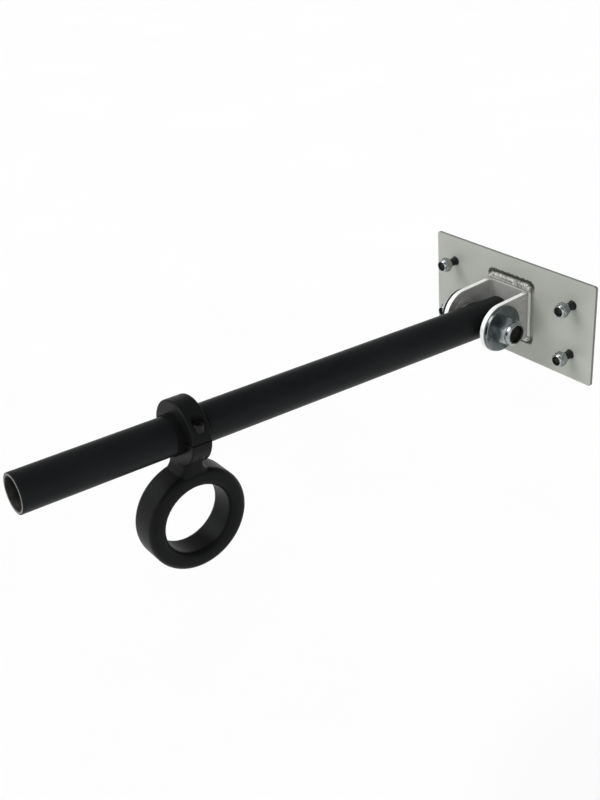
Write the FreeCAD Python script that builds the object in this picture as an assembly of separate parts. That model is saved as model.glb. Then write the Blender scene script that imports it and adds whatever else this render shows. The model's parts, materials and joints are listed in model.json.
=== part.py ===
"""Folding wall bar with a clamp-on ring: one STEP file for each piece.

Millimetres. The origin is the centre of the wall plate's back face: +X to the right of someone
facing the wall, +Y into the wall, +Z up. The bar points along -Y.
"""
import math
import os

import FreeCAD
import Part

Vector = FreeCAD.Vector
X_AXIS = Vector(1, 0, 0)
Y_AXIS = Vector(0, 1, 0)
Z_AXIS = Vector(0, 0, 1)
ORIGIN = Vector(0, 0, 0)

# Wall plate and its four fixings
PLATE_WIDTH = 203.2
PLATE_HEIGHT = 101.6
PLATE_THICKNESS = 3.0
PLATE_CORNER_RADIUS = 2.5
PLATE_EDGE_FILLET = 0.4
FIXING_SPACING_X = 152.4
FIXING_SPACING_Z = 50.8
STUD_DIAMETER = 7.94
STUD_WALL_END_DIAMETER = 8.4
STUD_BEHIND_PLATE = 16.0
STUD_END_CHAMFER = 0.8
STUD_COLLAR_RIM = 0.75
STUD_COLLAR_CLEARANCE = 0.05
WALL_NUT_FLATS = 12.7
WALL_NUT_HEX_HEIGHT = 6.4
WALL_NUT_COLLAR_HEIGHT = 2.3
WALL_NUT_COLLAR_WALL = 0.38
WALL_NUT_STAND_OFF = 11.0

# Clevis bent from one strip and welded to the plate
EAR_TO_TUBE_GAP = 5.0
CLEVIS_METAL = 4.8
CLEVIS_HALF_HEIGHT = 24.2
CLEVIS_BEND_RADIUS = 3.2
EAR_END_RADIUS = 23.4
EAR_EDGE_FILLET = 0.6
PIVOT_REACH = 41.4
WELD_RISE = 7.2
WELD_RUN = 4.6
WELD_SIDE = 1.2
WELD_BULGE = 0.7

# Pivot bolt, its washers and its lock nut
BOLT_DIAMETER = 15.9
BOLT_HEAD_FLATS = 23.8
BOLT_HEAD_HEIGHT = 9.9
BOLT_HOLE_CLEARANCE = 0.25
BOLT_RUNNING_CLEARANCE = 0.08
BIG_WASHER_DIAMETER = 44.4
BIG_WASHER_THICKNESS = 3.4
BIG_WASHER_EDGE = 0.6
LOCK_NUT_FLATS = 23.8
LOCK_NUT_HEX_HEIGHT = 12.0
LOCK_NUT_COLLAR_HEIGHT = 4.6
LOCK_NUT_COLLAR_WALL = 1.5
THRUST_WASHER_DIAMETER = 30.0
THRUST_WASHER_THICKNESS = 1.2
THRUST_CLEARANCE = 0.1

# Nuts and bolt heads of both sizes
HEX_CHAMFER_ANGLE = 30.0
HEX_CHAMFER_START = 1.0
COLLAR_TAPER_RISE = 3.0
COLLAR_TAPER_INSET = 4.0
INSERT_WALL = 1.5
INSERT_LIP = 0.7
INSERT_SINK = 0.4
BOLT_END_RECESS = 2.2
WALL_STUD_END_RECESS = 1.1
THREAD_CLEARANCE = 0.05

# Bar
TUBE_DIAMETER = 33.4
TUBE_WALL = 3.38
TUBE_LENGTH = 508.0
TUBE_BEHIND_PIVOT = 25.0
TUBE_END_CHAMFER = 0.5
BAR_TILT = 3.68
SLEEVE_WALL = 3.1
SLEEVE_WELD_LEG = 2.6
SLEEVE_WELD_TIP = 0.3

# Two-piece clamp with the ring
CLAMP_FROM_PIVOT = 336.0
CLAMP_WALL = 10.6
CLAMP_WIDTH = 18.5
CLAMP_EDGE_FILLET = 1.6
CLAMP_SPLIT_GAP = 1.0
LINER_THICKNESS = 1.1
LINER_LIP = 6.0
LINER_SLIT = 1.6
LINER_SLIDING_CLEARANCE = 0.05
LINER_TURNING_CLEARANCE = 0.05
SCREW_DIAMETER = 6.0
SCREW_LENGTH = 25.0
SCREW_HEAD_DIAMETER = 10.0
SCREW_HEAD_HEIGHT = 6.0
SCREW_SOCKET_FLATS = 5.0
SCREW_SOCKET_DEPTH = 3.0
SCREW_HOLE_TO_BORE = 1.6
SCREW_SEAT_ABOVE_AXIS = 9.5
SCREW_HOLE_CLEARANCE = 0.3
COUNTERBORE_CLEARANCE = 0.6
SCREW_HEAD_ROUNDING = 0.6
NECK_LENGTH = 4.5
RING_OUTER_RADIUS = 46.6
RING_HOLE_RADIUS = 31.2
RING_WIDTH = 31.0
RING_CORNER_RADIUS = 6.0
NECK_WIDTH = 28.5
NECK_CORNER_RADIUS = 5.0
NECK_FLARE_RADIUS = 9.0
NECK_SINK = 0.3

# Tools for cutting reach this far past what they cut
OVERCUT = 1.0
# Edges are picked when they lie this near a place
TOUCHING = 1e-6

# Sizes and places that follow
pivotY = -(PLATE_THICKNESS + PIVOT_REACH)
tubeRadius = TUBE_DIAMETER / 2
tubeBore = tubeRadius - TUBE_WALL
studRadius = STUD_DIAMETER / 2
studCollarRadius = studRadius + STUD_COLLAR_RIM
studHoleRadius = studCollarRadius + STUD_COLLAR_CLEARANCE
boltRadius = BOLT_DIAMETER / 2
boltHoleRadius = boltRadius + BOLT_HOLE_CLEARANCE
earInner = tubeRadius + EAR_TO_TUBE_GAP
earOuter = earInner + CLEVIS_METAL
sleeveBore = boltRadius + BOLT_RUNNING_CLEARANCE
sleeveRadius = sleeveBore + SLEEVE_WALL
sleeveHalf = earInner - THRUST_WASHER_THICKNESS - THRUST_CLEARANCE
linerBore = tubeRadius + LINER_SLIDING_CLEARANCE
linerRadius = linerBore + LINER_THICKNESS
clampBore = linerRadius + LINER_TURNING_CLEARANCE
clampRadius = clampBore + CLAMP_WALL
screwHoleRadius = SCREW_DIAMETER / 2 + SCREW_HOLE_CLEARANCE
screwOffset = clampBore + SCREW_HOLE_TO_BORE + screwHoleRadius
ringDrop = clampRadius + NECK_LENGTH + RING_OUTER_RADIUS
fixingPlaces = [(sx * FIXING_SPACING_X / 2, sz * FIXING_SPACING_Z / 2)
                for sx in (-1, 1) for sz in (-1, 1)]


def rod(radius, length, start, direction):
    return Part.makeCylinder(radius, length, start, direction)


def block(low, high):
    return Part.makeBox(high[0] - low[0], high[1] - low[1], high[2] - low[2], Vector(*low))


def turned(profile, axis):
    """A solid turned about an axis through the origin from a closed list of points."""
    face = Part.Face(Part.makePolygon([Vector(*p) for p in profile] + [Vector(*profile[0])]))
    return face.revolve(ORIGIN, axis, 360)


def roundEdges(shape):
    return [e for e in shape.Edges if e.Curve.TypeId == "Part::GeomCircle"]


def mirroredX(shape):
    return shape.mirror(ORIGIN, X_AXIS)


def onBar(shape):
    """Places a piece drawn with the pivot at the origin and the bar level along -Y."""
    placed = shape.copy()
    placed.rotate(ORIGIN, X_AXIS, -BAR_TILT)
    placed.translate(Vector(0, pivotY, 0))
    return placed


def save(name, *solids):
    shape = solids[0] if len(solids) == 1 else Part.makeCompound(list(solids))
    os.makedirs("parts", exist_ok=True)
    shape.exportStep("parts/" + name + ".step")


def hexPrism(flats, height):
    """A hexagonal prism from the origin along +Z, with its outer corners chamfered at the top."""
    corner = flats / math.sqrt(3)
    angles = [math.radians(60 * i) for i in range(7)]
    points = [Vector(corner * math.cos(angle), corner * math.sin(angle), 0) for angle in angles]
    prism = Part.Face(Part.makePolygon(points)).extrude(Vector(0, 0, height))
    outer = corner + HEX_CHAMFER_START
    rise = (outer - flats / 2) * math.tan(math.radians(HEX_CHAMFER_ANGLE))
    cap = turned([(0, 0, 0), (outer, 0, 0), (outer, 0, height - rise),
                  (flats / 2, 0, height), (0, 0, height)], Z_AXIS)
    return prism.common(cap)


def lockNut(holeRadius, flats, hexHeight, collarHeight, collarWall):
    """A lock nut from the origin along +Z, and the plastic ring held in its collar."""
    top = hexHeight + collarHeight
    pocketRadius = holeRadius + INSERT_WALL
    collarRadius = pocketRadius + collarWall
    shoulder = top - collarHeight / COLLAR_TAPER_RISE
    brim = collarRadius - collarHeight / COLLAR_TAPER_INSET
    root = hexHeight - OVERCUT
    collar = turned([(0, 0, root), (collarRadius, 0, root), (collarRadius, 0, shoulder),
                     (brim, 0, top), (0, 0, top)], Z_AXIS)
    pocketFloor = hexHeight - INSERT_SINK
    pocket = rod(pocketRadius, top - INSERT_LIP - pocketFloor, Vector(0, 0, pocketFloor), Z_AXIS)
    mouth = rod(holeRadius + INSERT_WALL / 2, top + OVERCUT, ORIGIN, Z_AXIS)
    mouth = mouth.cut(rod(pocketRadius, pocketFloor, ORIGIN, Z_AXIS))
    hole = rod(holeRadius, top + 2 * OVERCUT, Vector(0, 0, -OVERCUT), Z_AXIS)
    nut = hexPrism(flats, hexHeight).fuse(collar).cut(pocket).cut(mouth).cut(hole).removeSplitter()
    return nut, pocket.cut(hole)


def wallPlate():
    plate = block((-PLATE_WIDTH / 2, -PLATE_THICKNESS, -PLATE_HEIGHT / 2),
                  (PLATE_WIDTH / 2, 0, PLATE_HEIGHT / 2))
    upright = [e for e in plate.Edges if abs(e.tangentAt(e.FirstParameter).y) > 0.9]
    plate = plate.makeFillet(PLATE_CORNER_RADIUS, upright)
    front = [e for e in plate.Edges if abs(e.BoundBox.YMax + PLATE_THICKNESS) < TOUCHING]
    plate = plate.makeFillet(PLATE_EDGE_FILLET, front)
    for x, z in fixingPlaces:
        start = Vector(x, -PLATE_THICKNESS - OVERCUT, z)
        plate = plate.cut(rod(studHoleRadius, PLATE_THICKNESS + 2 * OVERCUT, start, Y_AXIS))
    return plate


def chamferedRod(radius, start, end):
    """A rod along Y with a chamfer at its far end."""
    stud = rod(radius, abs(end - start), Vector(0, start, 0), Y_AXIS * math.copysign(1, end - start))
    tip = [e for e in roundEdges(stud) if abs(e.BoundBox.Center.y - end) < TOUCHING]
    return stud.makeChamfer(STUD_END_CHAMFER, tip)


def wallStud(x, z):
    """A stud pressed into the plate by its collar: nut thread in front, wall thread behind."""
    nutEnd = PLATE_THICKNESS + WALL_NUT_STAND_OFF + WALL_NUT_HEX_HEIGHT + WALL_NUT_COLLAR_HEIGHT
    front = chamferedRod(studRadius, -PLATE_THICKNESS, WALL_STUD_END_RECESS - nutEnd)
    behind = chamferedRod(STUD_WALL_END_DIAMETER / 2, 0, STUD_BEHIND_PLATE)
    collar = rod(studCollarRadius, PLATE_THICKNESS, Vector(0, -PLATE_THICKNESS, 0), Y_AXIS)
    stud = collar.fuse(front).fuse(behind).removeSplitter()
    stud.translate(Vector(x, 0, z))
    return stud


def wallNut(x, z):
    pieces = lockNut(studRadius + THREAD_CLEARANCE, WALL_NUT_FLATS, WALL_NUT_HEX_HEIGHT,
                     WALL_NUT_COLLAR_HEIGHT, WALL_NUT_COLLAR_WALL)
    for piece in pieces:
        piece.rotate(ORIGIN, X_AXIS, 90)
        piece.translate(Vector(x, -(PLATE_THICKNESS + WALL_NUT_STAND_OFF), z))
    return pieces


def earOutline():
    """Side view of an ear: straight edges from the web, tangent to the round end."""
    distance = math.hypot(PIVOT_REACH, CLEVIS_HALF_HEIGHT)
    toCorner = math.atan2(CLEVIS_HALF_HEIGHT, PIVOT_REACH)
    tangent = toCorner + math.acos(EAR_END_RADIUS / distance)
    top = Vector(0, pivotY + EAR_END_RADIUS * math.cos(tangent), EAR_END_RADIUS * math.sin(tangent))
    low = Vector(0, top.y, -top.z)
    rootTop = Vector(0, -PLATE_THICKNESS, CLEVIS_HALF_HEIGHT)
    rootLow = Vector(0, -PLATE_THICKNESS, -CLEVIS_HALF_HEIGHT)
    nose = Vector(0, pivotY - EAR_END_RADIUS, 0)
    edges = [Part.makeLine(rootLow, rootTop), Part.makeLine(rootTop, top),
             Part.Arc(top, nose, low).toShape(), Part.makeLine(low, rootLow)]
    return Part.Face(Part.Wire(edges))


def bentBlock(halfWidth, front, back, halfHeight, radius):
    """A block across the middle with its two upright edges at the back rounded."""
    shape = block((-halfWidth, front, -halfHeight), (halfWidth, back, halfHeight))
    upright = [e for e in shape.Edges if abs(e.BoundBox.YMin - back) < TOUCHING
               and e.BoundBox.XLength < TOUCHING]
    return shape.makeFillet(radius, upright)


def clevisBracket():
    """The bent strip: a U seen from above, trimmed to the ears' outline seen from the side."""
    nose = pivotY - EAR_END_RADIUS - OVERCUT
    webFront = -(PLATE_THICKNESS + CLEVIS_METAL)
    outer = bentBlock(earOuter, nose, -PLATE_THICKNESS, CLEVIS_HALF_HEIGHT,
                      CLEVIS_BEND_RADIUS + CLEVIS_METAL)
    inner = bentBlock(earInner, nose - OVERCUT, webFront, CLEVIS_HALF_HEIGHT + OVERCUT,
                      CLEVIS_BEND_RADIUS)
    halfSpan = earOuter + OVERCUT
    ears = earOutline().extrude(Vector(2 * halfSpan, 0, 0))
    ears.translate(Vector(-halfSpan, 0, 0))
    hole = rod(boltHoleRadius, 2 * halfSpan, Vector(-halfSpan, pivotY, 0), X_AXIS)
    strip = outer.cut(inner).common(ears).cut(hole).removeSplitter()
    rims = [e for e in roundEdges(strip) if abs(e.Curve.Radius - EAR_END_RADIUS) < TOUCHING]
    return strip.makeFillet(EAR_EDGE_FILLET, rims)


def clevisWeld(bracket):
    """Beads over and under the strip, joined by a thin run down each side of it."""
    front = -(PLATE_THICKNESS + WELD_RUN)
    halfX = earOuter + WELD_SIDE
    root = Vector(-halfX, -PLATE_THICKNESS, CLEVIS_HALF_HEIGHT)
    plateToe = root + Vector(0, 0, WELD_RISE)
    stripToe = root + Vector(0, -WELD_RUN, 0)
    outward = Vector(0, -WELD_RISE, WELD_RUN).normalize()
    crown = (plateToe + stripToe) / 2 + outward * WELD_BULGE
    edges = [Part.Arc(plateToe, crown, stripToe).toShape(), Part.makeLine(stripToe, root),
             Part.makeLine(root, plateToe)]
    over = Part.Face(Part.Wire(edges)).extrude(Vector(2 * halfX, 0, 0))
    under = over.mirror(ORIGIN, Z_AXIS)
    bendStart = earOuter - CLEVIS_BEND_RADIUS - CLEVIS_METAL
    section = Part.makePolygon([Vector(x, y, -CLEVIS_HALF_HEIGHT) for x, y in (
        (bendStart, -PLATE_THICKNESS), (halfX, -PLATE_THICKNESS), (earOuter, front),
        (bendStart, front), (bendStart, -PLATE_THICKNESS))])
    side = Part.Face(section).extrude(Vector(0, 0, 2 * CLEVIS_HALF_HEIGHT))
    bead = over.fuse([under, side, mirroredX(side)]).cut(bracket).removeSplitter()
    return max(bead.Solids, key=lambda solid: solid.Volume)


def pivotBolt():
    head = hexPrism(BOLT_HEAD_FLATS, BOLT_HEAD_HEIGHT)
    head.rotate(ORIGIN, Y_AXIS, -90)
    under = earOuter + BIG_WASHER_THICKNESS
    head.translate(Vector(-under, pivotY, 0))
    nutLength = LOCK_NUT_HEX_HEIGHT + LOCK_NUT_COLLAR_HEIGHT
    end = under + nutLength - BOLT_END_RECESS
    shank = rod(boltRadius, under + end, Vector(-under, pivotY, 0), X_AXIS)
    tip = [e for e in roundEdges(shank) if abs(e.BoundBox.XMin - end) < TOUCHING]
    shank = shank.makeChamfer(STUD_END_CHAMFER, tip)
    return head.fuse(shank).removeSplitter()


def bigWasher():
    """The washer on the nut's side; the one under the bolt head is its mirror image."""
    start = Vector(earOuter, pivotY, 0)
    washer = rod(BIG_WASHER_DIAMETER / 2, BIG_WASHER_THICKNESS, start, X_AXIS)
    washer = washer.makeFillet(BIG_WASHER_EDGE, roundEdges(washer))
    return washer.cut(rod(boltHoleRadius, BIG_WASHER_THICKNESS, start, X_AXIS))


def pivotLockNut():
    pieces = lockNut(boltRadius + THREAD_CLEARANCE, LOCK_NUT_FLATS, LOCK_NUT_HEX_HEIGHT,
                     LOCK_NUT_COLLAR_HEIGHT, LOCK_NUT_COLLAR_WALL)
    for piece in pieces:
        piece.rotate(ORIGIN, Y_AXIS, 90)
        piece.translate(Vector(earOuter + BIG_WASHER_THICKNESS, pivotY, 0))
    return pieces


def thrustWasher():
    start = Vector(earInner - THRUST_WASHER_THICKNESS, pivotY, 0)
    washer = rod(THRUST_WASHER_DIAMETER / 2, THRUST_WASHER_THICKNESS, start, X_AXIS)
    return washer.cut(rod(boltHoleRadius, THRUST_WASHER_THICKNESS, start, X_AXIS))


def barTube():
    freeEnd = Vector(0, TUBE_BEHIND_PIVOT - TUBE_LENGTH, 0)
    tube = rod(tubeRadius, TUBE_LENGTH, freeEnd, Y_AXIS).cut(rod(tubeBore, TUBE_LENGTH, freeEnd, Y_AXIS))
    tube = tube.makeChamfer(TUBE_END_CHAMFER, roundEdges(tube))
    side = Vector(-tubeRadius - OVERCUT, 0, 0)
    return tube.cut(rod(sleeveRadius, TUBE_DIAMETER + 2 * OVERCUT, side, X_AXIS))


def pivotSleeve():
    sleeve = rod(sleeveRadius, 2 * sleeveHalf, Vector(-sleeveHalf, 0, 0), X_AXIS)
    return sleeve.cut(rod(sleeveBore, 2 * sleeveHalf, Vector(-sleeveHalf, 0, 0), X_AXIS))


def sleeveWeld():
    """The bead where the sleeve leaves the +X side of the tube."""
    foot = sleeveRadius + SLEEVE_WELD_LEG
    low = math.sqrt(tubeRadius ** 2 - foot ** 2)
    height = tubeRadius + SLEEVE_WELD_LEG / 2 - low
    cone = Part.makeCone(foot, sleeveRadius + SLEEVE_WELD_TIP, height, Vector(low, 0, 0), X_AXIS)
    tube = rod(tubeRadius, TUBE_LENGTH, Vector(0, -TUBE_LENGTH / 2, 0), Y_AXIS)
    return cone.cut(tube).cut(rod(sleeveRadius, 2 * sleeveHalf, Vector(-sleeveHalf, 0, 0), X_AXIS))


def clampLiner():
    """A thin split sleeve between the tube and the clamp, slit along its -X side."""
    length = CLAMP_WIDTH + 2 * LINER_LIP
    start = Vector(0, -CLAMP_FROM_PIVOT - length / 2, 0)
    sleeve = rod(linerRadius, length, start, Y_AXIS).cut(rod(linerBore, length, start, Y_AXIS))
    slit = block((-linerRadius - OVERCUT, start.y - OVERCUT, -LINER_SLIT / 2),
                 (0, start.y + length + OVERCUT, LINER_SLIT / 2))
    return sleeve.cut(slit)


def clampDisc():
    disc = rod(clampRadius, CLAMP_WIDTH, Vector(0, -CLAMP_FROM_PIVOT - CLAMP_WIDTH / 2, 0), Y_AXIS)
    return disc.makeFillet(CLAMP_EDGE_FILLET, roundEdges(disc))


def clampBoreTool():
    start = Vector(0, -CLAMP_FROM_PIVOT - CLAMP_WIDTH / 2 - OVERCUT, 0)
    return rod(clampBore, CLAMP_WIDTH + 2 * OVERCUT, start, Y_AXIS)


def clampCap():
    upper = block((-clampRadius, -CLAMP_FROM_PIVOT - CLAMP_WIDTH, CLAMP_SPLIT_GAP / 2),
                  (clampRadius, -CLAMP_FROM_PIVOT + CLAMP_WIDTH, clampRadius))
    cap = clampDisc().common(upper).cut(clampBoreTool())
    counterbore = SCREW_HEAD_DIAMETER / 2 + COUNTERBORE_CLEARANCE
    for side in (-1, 1):
        seat = Vector(side * screwOffset, -CLAMP_FROM_PIVOT, SCREW_SEAT_ABOVE_AXIS)
        cap = cap.cut(rod(counterbore, clampRadius, seat, Z_AXIS))
        cap = cap.cut(rod(screwHoleRadius, clampRadius, seat, -Z_AXIS))
    return cap


def clampScrew():
    """The socket-head screw on the +X side."""
    seat = Vector(screwOffset, -CLAMP_FROM_PIVOT, SCREW_SEAT_ABOVE_AXIS)
    head = rod(SCREW_HEAD_DIAMETER / 2, SCREW_HEAD_HEIGHT, seat, Z_AXIS)
    rim = [e for e in roundEdges(head) if e.BoundBox.ZMin > SCREW_SEAT_ABOVE_AXIS + TOUCHING]
    head = head.makeFillet(SCREW_HEAD_ROUNDING, rim)
    socket = hexPrism(SCREW_SOCKET_FLATS, SCREW_SOCKET_DEPTH + OVERCUT)
    socket.translate(seat + Vector(0, 0, SCREW_HEAD_HEIGHT - SCREW_SOCKET_DEPTH))
    shank = rod(SCREW_DIAMETER / 2, SCREW_LENGTH, seat, -Z_AXIS)
    return head.cut(socket).fuse(shank).removeSplitter()


def neck():
    """The neck: flanks level with the clamp's faces, curving out on to the ring."""
    half = CLAMP_WIDTH / 2
    footRadius = RING_OUTER_RADIUS - NECK_SINK
    centreY = half + NECK_FLARE_RADIUS
    fromRing = footRadius + NECK_FLARE_RADIUS
    centreZ = -ringDrop + math.sqrt(fromRing ** 2 - centreY ** 2)
    footY = centreY * footRadius / fromRing
    footZ = -ringDrop + (centreZ + ringDrop) * footRadius / fromRing
    middle = (math.pi + math.atan2(footZ - centreZ, footY - centreY) % (2 * math.pi)) / 2
    bendY = centreY + NECK_FLARE_RADIUS * math.cos(middle)
    bendZ = centreZ + NECK_FLARE_RADIUS * math.sin(middle)
    topZ = -clampBore
    corners = [Vector(0, -half, topZ), Vector(0, half, topZ), Vector(0, half, centreZ),
               Vector(0, footY, footZ), Vector(0, -footY, footZ), Vector(0, -half, centreZ)]
    edges = [Part.makeLine(corners[0], corners[1]), Part.makeLine(corners[1], corners[2]),
             Part.Arc(corners[2], Vector(0, bendY, bendZ), corners[3]).toShape(),
             Part.makeLine(corners[3], corners[4]),
             Part.Arc(corners[4], Vector(0, -bendY, bendZ), corners[5]).toShape(),
             Part.makeLine(corners[5], corners[0])]
    shape = Part.Face(Part.Wire(edges)).extrude(Vector(NECK_WIDTH, 0, 0))
    shape.translate(Vector(-NECK_WIDTH / 2, -CLAMP_FROM_PIVOT, 0))
    flanks = [e for e in shape.Edges if e.BoundBox.XLength < TOUCHING and e.BoundBox.ZLength > TOUCHING
              and e.BoundBox.ZMax > centreZ - TOUCHING]
    return shape.makeFillet(NECK_CORNER_RADIUS, flanks)


def ring():
    section = block((-RING_WIDTH / 2, -OVERCUT, RING_HOLE_RADIUS),
                    (RING_WIDTH / 2, 0, RING_OUTER_RADIUS))
    corners = [e for e in section.Edges if e.BoundBox.YLength > TOUCHING]
    section = section.makeFillet(RING_CORNER_RADIUS, corners)
    face = next(f for f in section.Faces if f.BoundBox.YMin > -TOUCHING)
    shape = face.revolve(ORIGIN, X_AXIS, 360)
    shape.translate(Vector(0, -CLAMP_FROM_PIVOT, -ringDrop))
    return shape


def ringBase():
    lower = block((-clampRadius, -CLAMP_FROM_PIVOT - CLAMP_WIDTH, -clampRadius),
                  (clampRadius, -CLAMP_FROM_PIVOT + CLAMP_WIDTH, -CLAMP_SPLIT_GAP / 2))
    base = clampDisc().common(lower).fuse(neck()).fuse(ring()).cut(clampBoreTool())
    for side in (-1, 1):
        start = Vector(side * screwOffset, -CLAMP_FROM_PIVOT, 0)
        base = base.cut(rod(SCREW_DIAMETER / 2 + THREAD_CLEARANCE, clampRadius, start, -Z_AXIS))
    return base.removeSplitter()


def build():
    save("wall_plate", wallPlate())
    save("wall_studs", *[wallStud(x, z) for x, z in fixingPlaces])
    wallNuts = [wallNut(x, z) for x, z in fixingPlaces]
    save("wall_nuts", *[nut for nut, insert in wallNuts])
    save("wall_nut_inserts", *[insert for nut, insert in wallNuts])
    bracket = clevisBracket()
    save("clevis_bracket", bracket)
    save("clevis_weld", clevisWeld(bracket))
    save("pivot_bolt", pivotBolt())
    save("pivot_washer_nut", bigWasher())
    save("pivot_washer_head", mirroredX(bigWasher()))
    nut, insert = pivotLockNut()
    save("pivot_lock_nut", nut)
    save("pivot_nut_insert", insert)
    save("thrust_washer_right", thrustWasher())
    save("thrust_washer_left", mirroredX(thrustWasher()))
    save("bar_tube", onBar(barTube()))
    save("pivot_sleeve", onBar(pivotSleeve()))
    save("sleeve_weld_right", onBar(sleeveWeld()))
    save("sleeve_weld_left", onBar(mirroredX(sleeveWeld())))
    save("clamp_liner", onBar(clampLiner()))
    save("ring_base", onBar(ringBase()))
    save("clamp_cap", onBar(clampCap()))
    save("clamp_screw_right", onBar(clampScrew()))
    save("clamp_screw_left", onBar(mirroredX(clampScrew())))


build()
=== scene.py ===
import json
import math

import bmesh
import bpy
from mathutils import Matrix, Vector


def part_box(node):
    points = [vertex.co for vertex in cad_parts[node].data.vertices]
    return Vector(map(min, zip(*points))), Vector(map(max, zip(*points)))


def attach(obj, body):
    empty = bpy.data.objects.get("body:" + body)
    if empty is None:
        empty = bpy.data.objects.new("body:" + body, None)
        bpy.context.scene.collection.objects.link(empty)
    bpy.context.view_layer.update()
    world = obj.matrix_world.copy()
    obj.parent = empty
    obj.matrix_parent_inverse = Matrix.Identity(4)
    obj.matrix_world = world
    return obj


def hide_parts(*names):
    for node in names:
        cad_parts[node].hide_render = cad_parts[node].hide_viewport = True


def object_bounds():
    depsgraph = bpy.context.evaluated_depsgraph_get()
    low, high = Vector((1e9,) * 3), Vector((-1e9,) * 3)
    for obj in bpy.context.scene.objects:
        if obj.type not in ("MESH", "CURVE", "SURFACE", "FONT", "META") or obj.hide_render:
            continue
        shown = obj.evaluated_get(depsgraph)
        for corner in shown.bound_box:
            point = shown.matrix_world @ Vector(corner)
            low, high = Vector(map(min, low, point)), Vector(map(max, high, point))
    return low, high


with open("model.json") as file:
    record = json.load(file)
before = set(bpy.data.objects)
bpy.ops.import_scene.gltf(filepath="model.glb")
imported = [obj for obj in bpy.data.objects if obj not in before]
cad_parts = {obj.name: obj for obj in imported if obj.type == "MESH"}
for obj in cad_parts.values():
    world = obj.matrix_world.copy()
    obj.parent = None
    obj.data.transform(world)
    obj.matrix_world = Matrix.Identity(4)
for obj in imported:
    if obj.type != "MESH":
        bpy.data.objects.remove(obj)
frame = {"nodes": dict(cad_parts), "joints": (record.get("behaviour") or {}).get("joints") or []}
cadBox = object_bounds()
print("frame loaded:", len(frame["nodes"]), "nodes")

# the bar's own directions, from its joints
joints = {joint["name"]: joint for joint in frame["joints"]}
pivot = Vector(joints["bar_fold"]["pos_m"])
outward = Vector(joints["clamp_slide"]["axis"]).normalized()
across = Vector((1, 0, 0))
barUp = outward.cross(across).normalized()
barTilt = math.asin(outward.z)
barPlace = Matrix.Translation(pivot) @ Matrix((across, -outward, barUp)).transposed().to_4x4()


def spanAlong(nodeName, origin, axis):
    steps = [(v.co - origin).dot(axis) for v in frame["nodes"][nodeName].data.vertices]
    return min(steps), max(steps)


def farthestFrom(nodeName, origin, axis):
    steps = [v.co - origin for v in frame["nodes"][nodeName].data.vertices]
    return max((step - axis * step.dot(axis)).length for step in steps)


# small material helpers
def startMaterial(name):
    material = bpy.data.materials.new(name)
    material.use_nodes = True
    tree = material.node_tree
    return material, tree, tree.nodes["Principled BSDF"]


def addNode(tree, kind, **settings):
    # a setting is one of the node's own, or else the value of an input
    node = tree.nodes.new(kind)
    for key, value in settings.items():
        if hasattr(node, key):
            setattr(node, key, value)
        else:
            node.inputs[key].default_value = value
    return node


def placedCoords(tree, stretch=(1, 1, 1), turn=(0, 0, 0)):
    coords = addNode(tree, "ShaderNodeTexCoord")
    mapping = addNode(tree, "ShaderNodeMapping", Scale=stretch, Rotation=turn)
    tree.links.new(coords.outputs["Object"], mapping.inputs["Vector"])
    return mapping.outputs["Vector"]


def axesOf(tree, kind):
    # X, Y and Z of one kind of texture coordinate
    coords = addNode(tree, "ShaderNodeTexCoord")
    axes = addNode(tree, "ShaderNodeSeparateXYZ")
    tree.links.new(coords.outputs[kind], axes.inputs["Vector"])
    return axes.outputs


def noiseOn(tree, vector, scale, detail=3.0, roughness=0.5, distortion=0.0):
    noise = addNode(tree, "ShaderNodeTexNoise", Scale=scale, Detail=detail, Roughness=roughness,
                    Distortion=distortion)
    tree.links.new(vector, noise.inputs["Vector"])
    return noise.outputs["Fac"]


def ramp(tree, value, stops):
    node = addNode(tree, "ShaderNodeValToRGB")
    elements = node.color_ramp.elements
    while len(elements) < len(stops):
        elements.new(0.5)
    for element, (place, colour) in zip(elements, stops):
        element.position = place
        element.color = (*colour, 1)
    tree.links.new(value, node.inputs["Fac"])
    return node.outputs["Color"]


def remap(tree, value, low, high, outLow, outHigh):
    limits = {"From Min": low, "From Max": high, "To Min": outLow, "To Max": outHigh}
    node = addNode(tree, "ShaderNodeMapRange", **limits)
    tree.links.new(value, node.inputs["Value"])
    return node.outputs["Result"]


# most of a noise lies between these
noiseLow, noiseHigh = 0.3, 0.7


def twoTone(tree, noise, dark, light):
    return ramp(tree, noise, [(noiseLow, dark), (noiseHigh, light)])


def spread(tree, noise, outLow, outHigh):
    return remap(tree, noise, noiseLow, noiseHigh, outLow, outHigh)


def layOver(tree, amount, body, colour):
    node = addNode(tree, "ShaderNodeMix", data_type="RGBA")
    colourInputs = {s.name: s for s in node.inputs if s.type == "RGBA"}
    tree.links.new(amount, node.inputs["Factor"])
    tree.links.new(body, colourInputs["A"])
    colourInputs["B"].default_value = (*colour, 1)
    return [s for s in node.outputs if s.type == "RGBA"][0]


def maths(tree, operation, first, second=None, clamp=False):
    node = addNode(tree, "ShaderNodeMath", operation=operation, use_clamp=clamp)
    for socket, value in zip(node.inputs, (first, second)):
        if isinstance(value, (int, float)):
            socket.default_value = value
        elif value is not None:
            tree.links.new(value, socket)
    return node.outputs[0]


def bumps(tree, shader, *layers):
    # each layer is (height, strength, depth in metres), rough ones first
    normal = None
    for height, strength, depth in layers:
        bump = addNode(tree, "ShaderNodeBump", Strength=strength, Distance=depth)
        tree.links.new(height, bump.inputs["Height"])
        if normal:
            tree.links.new(normal, bump.inputs["Normal"])
        normal = bump.outputs["Normal"]
    tree.links.new(normal, shader.inputs["Normal"])


arris = {"samples": 6, "flatCosine": 0.995, "wornCosine": 0.9}


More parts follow.
